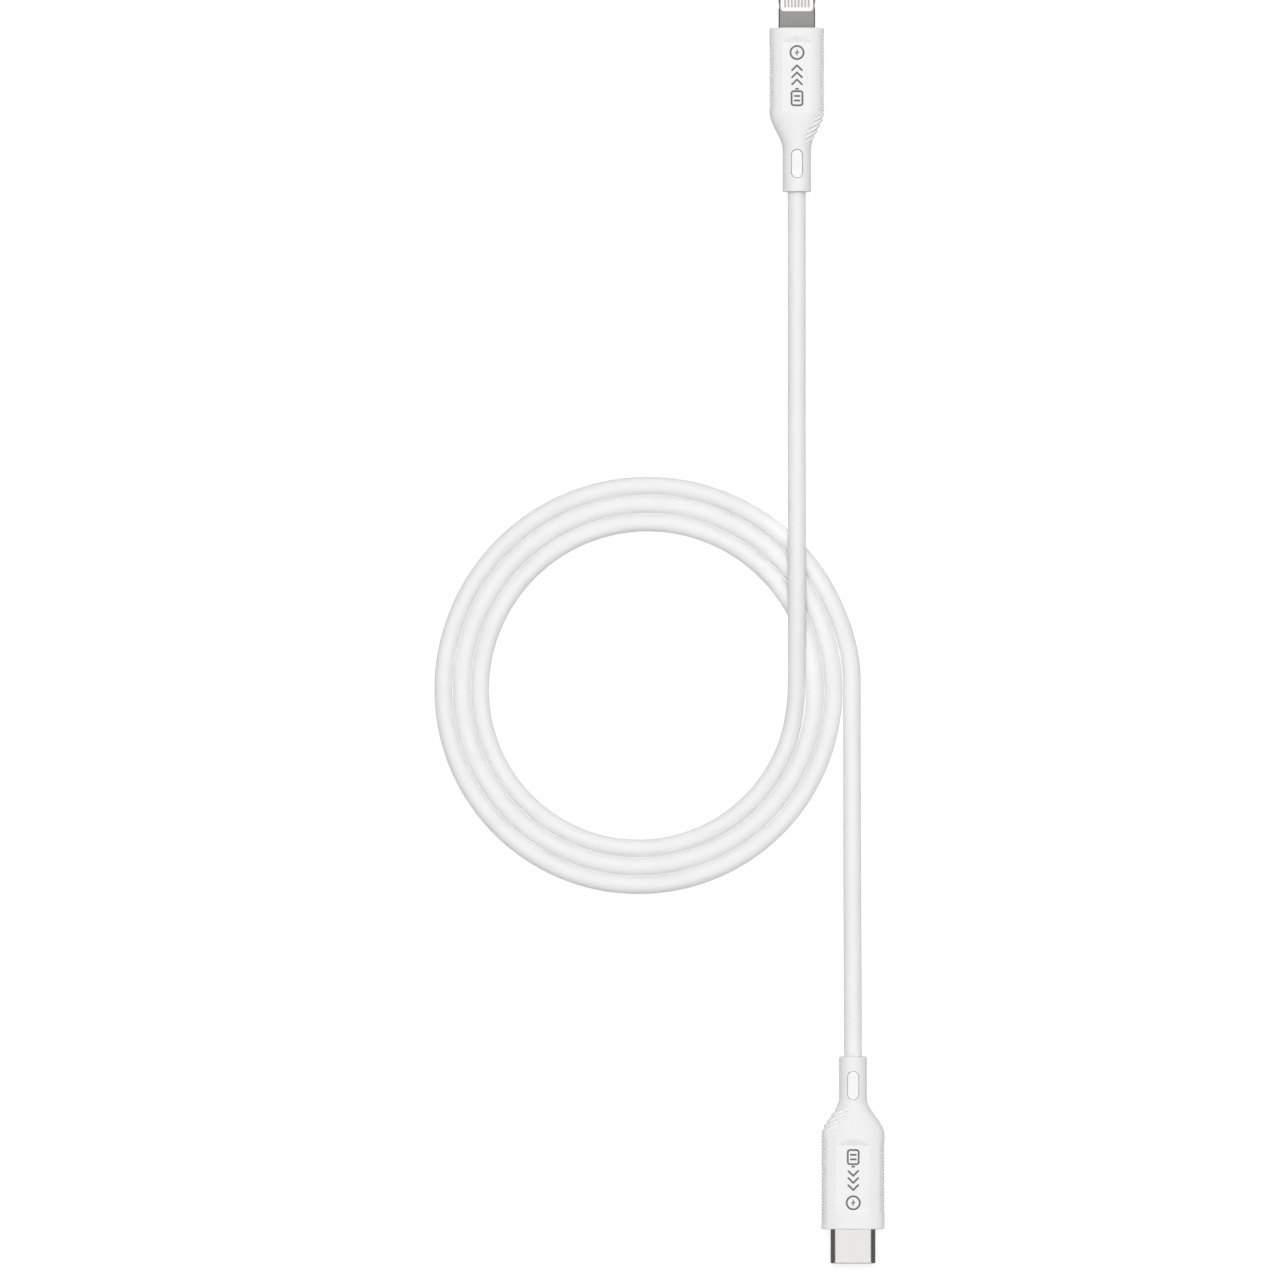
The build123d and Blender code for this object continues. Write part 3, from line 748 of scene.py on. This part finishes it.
def print_mark(sleeve, middle):
    """Thin raised print, centred at depth middle on the sleeve's upper panel."""
    solids = [rounded_outline(*BATTERY_END, 0.14)]
    solids += [bar((u, -CHARGE_BAR_HALF), (u, CHARGE_BAR_HALF)) for u in CHARGE_BARS]
    solids += [arrowhead(tip, ARROW_SIZE) for tip in ARROW_TIPS]
    solids.append(BOLT)
    loops = [
        ring_stroke(rounded_outline(*BATTERY, 0.4)),
        ring_stroke(corner_arc(RING_CENTRE, RING_RADIUS, 0, 360, 48)[:-1]),
    ]
    level = sleeve.height / 2 - PANEL_DEPTH
    points, faces = [], []

    def add(u, v, rise):
        points.append(sleeve.place(v, middle - u, level + rise))
        return len(points) - 1

    for outline in solids:
        top = [add(u, v, PRINT_RISE) for u, v in outline]
        under = [add(u, v, -PRINT_SINK) for u, v in outline]
        faces.append(top)
        faces.append(under[::-1])
        for k in range(len(outline)):
            after = (k + 1) % len(outline)
            faces.append((top[k], under[k], under[after], top[after]))
    for pairs in loops:
        rows = []
        for outer, inner in pairs:
            rows.append((add(*outer, PRINT_RISE), add(*inner, PRINT_RISE),
                         add(*inner, -PRINT_SINK), add(*outer, -PRINT_SINK)))
        for k, row in enumerate(rows):
            after = rows[(k + 1) % len(rows)]
            for corner in range(4):
                other = (corner + 1) % 4
                faces.append((row[corner], row[other], after[other], after[corner]))
    mark = mesh_object(f"{sleeve.end}_print_mark", points, faces)
    for face in mark.data.polygons:
        face.use_smooth = False
    dress(mark, "grey_print")


print_mark(TAB_SLEEVE, middle=8.8)
print_mark(C_SLEEVE, middle=9.1)


# ---------------------------------------------------------------------------------------------
# Cord, in metres: from inside the tab plug over the coil in a low hump, three turns of the coil
# from the innermost out, and on to the USB-C plug.

CORD_RADIUS = 0.001625
TAB_X = -0.00555
TAB_RUN = [
    (TAB_X, 0.09375, 0.0033),
    (TAB_X, 0.069, 0.0033),
    (TAB_X, 0.044, CORD_RADIUS),
    (TAB_X, 0.031, CORD_RADIUS),
    (TAB_X, 0.0175, 0.00535),
    (TAB_X, -0.001, 0.00535),
]
C_RUN = [
    (0.00458, -0.0156, CORD_RADIUS),
    (0.0047, -0.054, CORD_RADIUS),
    (0.00478, -0.071, 0.00325),
    (0.00478, -0.09412, 0.00325),
]
COIL_PITCH = 0.00339
COIL_INNER_RADIUS = 0.02914
COIL_SEAM_Y = -0.0115
COIL_HALF_TURNS = 6
POINTS_PER_HALF = 8


def coil_points():
    """Control points of the coil: half rings set half a pitch apart, each wider by half."""
    step = math.pi / POINTS_PER_HALF
    points = []
    for half in range(COIL_HALF_TURNS):
        shift = COIL_PITCH / 2 * (half % 2)
        radius = COIL_INNER_RADIUS + half // 2 * COIL_PITCH + shift
        centre_x = TAB_X - COIL_INNER_RADIUS + shift
        for k in range(POINTS_PER_HALF):
            turn = math.pi * half + (k + 0.5) * step
            reach = radius / math.cos(step / 2)
            points.append((
                centre_x + reach * math.cos(turn),
                COIL_SEAM_Y - reach * math.sin(turn),
                CORD_RADIUS,
            ))
    return points


def cord_curve(name, points):
    """Round cord along one open NURBS spline whose control points are the route's."""
    curve = bpy.data.curves.new(name, "CURVE")
    curve.dimensions = "3D"
    curve.resolution_u = 14
    curve.bevel_depth = CORD_RADIUS
    curve.bevel_resolution = 8
    curve.use_fill_caps = True
    spline = curve.splines.new("NURBS")
    spline.points.add(len(points) - 1)
    for place, point in zip(spline.points, points):
        place.co = (*point, 1.0)
    spline.order_u = 3
    spline.use_endpoint_u = True
    piece = bpy.data.objects.new(name, curve)
    bpy.context.scene.collection.objects.link(piece)
    return piece


cord = cord_curve("cord", TAB_RUN + coil_points() + C_RUN)
dress(cord, "cord_jacket")
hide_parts("cord_upper_run", "cord_coil", "cord_lower_run")


# ---------------------------------------------------------------------------------------------
# Floor, light and camera

FLOOR_GLOW = 0.76
FLOOR_HALF = 6.0
FLOOR_GAP = 0.00005
CORNER_LIGHT = (1.7, 1.7, 1.5)


def floor_material():
    """Pale paper that glows a little, so that it stays near white under the soft light."""
    shader = Shader("floor_paper", (0.3, 0.3, 0.3), 0.9, specular=0.0)
    shader.vary_color(shader.noise(0.05), 0.995)
    shader.bsdf.inputs["Emission Color"].default_value = (1.0, 1.0, 1.0, 1.0)
    shader.bsdf.inputs["Emission Strength"].default_value = FLOOR_GLOW
    return shader.material


corners = [(-FLOOR_HALF, -FLOOR_HALF), (FLOOR_HALF, -FLOOR_HALF),
           (FLOOR_HALF, FLOOR_HALF), (-FLOOR_HALF, FLOOR_HALF)]
floor = mesh_object("floor", [(x, y, -FLOOR_GAP) for x, y in corners], [(0, 1, 2, 3)])
floor.data.materials.append(floor_material())
floor.visible_diffuse = False
floor.visible_glossy = False
floor.visible_shadow = False

SKY_STRENGTH = 1.3
SKY_BANDS = [(0.0, 0.12), (0.02, 0.1), (0.6, 0.1), (0.85, 0.3), (1.0, 0.35)]
world = bpy.data.worlds.new("studio")
bpy.context.scene.world = world
world.use_nodes = True
sky = world.node_tree.nodes["Background"]
direction = world.node_tree.nodes.new("ShaderNodeTexCoord").outputs["Generated"]
height = world.node_tree.nodes.new("ShaderNodeSeparateXYZ")
world.node_tree.links.new(direction, height.inputs["Vector"])
shade = world.node_tree.nodes.new("ShaderNodeValToRGB")
while len(shade.color_ramp.elements) < len(SKY_BANDS):
    shade.color_ramp.elements.new(0.5)
for element, (upness, brightness) in zip(shade.color_ramp.elements, SKY_BANDS):
    element.position = upness
    element.color = (brightness, brightness, brightness, 1.0)
world.node_tree.links.new(height.outputs["Z"], shade.inputs["Fac"])
world.node_tree.links.new(shade.outputs["Color"], sky.inputs["Color"])
sky.inputs["Strength"].default_value = SKY_STRENGTH


def softbox(name, size, place, watts, diffuse=True, glossy=True):
    """Square light that faces the middle of the scene."""
    lamp = bpy.data.lights.new(name, "AREA")
    lamp.shape = "SQUARE"
    lamp.size = size
    lamp.energy = watts
    rig = bpy.data.objects.new(name, lamp)
    rig.location = place
    rig.rotation_euler = Vector(place).to_track_quat("Z", "Y").to_euler()
    rig.visible_diffuse = diffuse
    rig.visible_glossy = glossy
    bpy.context.scene.collection.objects.link(rig)


softbox("overhead", 2.8, (0.0, 1.0, 6.0), 278.0, glossy=False)
softbox("overhead_reflection", 3.8, (0.0, 0.0, 3.2), 37.0, diffuse=False)
softbox("floor_bounce", 6.0, (0.0, 0.0, -0.5), 105.0, glossy=False)
softbox("front_reflection", 1.6, (0.0, -2.2, 2.0), 6.0, diffuse=False)
softbox("back_reflection", 1.6, (0.0, 2.2, 2.0), 9.0, diffuse=False)
for side in (-1, 1):
    for end in (-1, 1):
        place = (side * CORNER_LIGHT[0], end * CORNER_LIGHT[1], CORNER_LIGHT[2])
        softbox("corner_reflection", 1.4, place, 7.5, diffuse=False)

FRAME_WIDTH = 0.2355
CAMERA_HEIGHT = 2.4
OBJECT_HEIGHT = 0.003
SENSOR_WIDTH = 36.0
camera = bpy.data.objects.new("camera", bpy.data.cameras.new("camera"))
camera.data.sensor_width = SENSOR_WIDTH
camera.data.lens = SENSOR_WIDTH * (CAMERA_HEIGHT - OBJECT_HEIGHT) / FRAME_WIDTH
camera.data.clip_start = 0.1
camera.data.clip_end = 20.0
camera.location = (-0.0344, -0.0023, CAMERA_HEIGHT)
bpy.context.scene.collection.objects.link(camera)
bpy.context.scene.camera = camera
bpy.context.scene.view_settings.view_transform = "Standard"
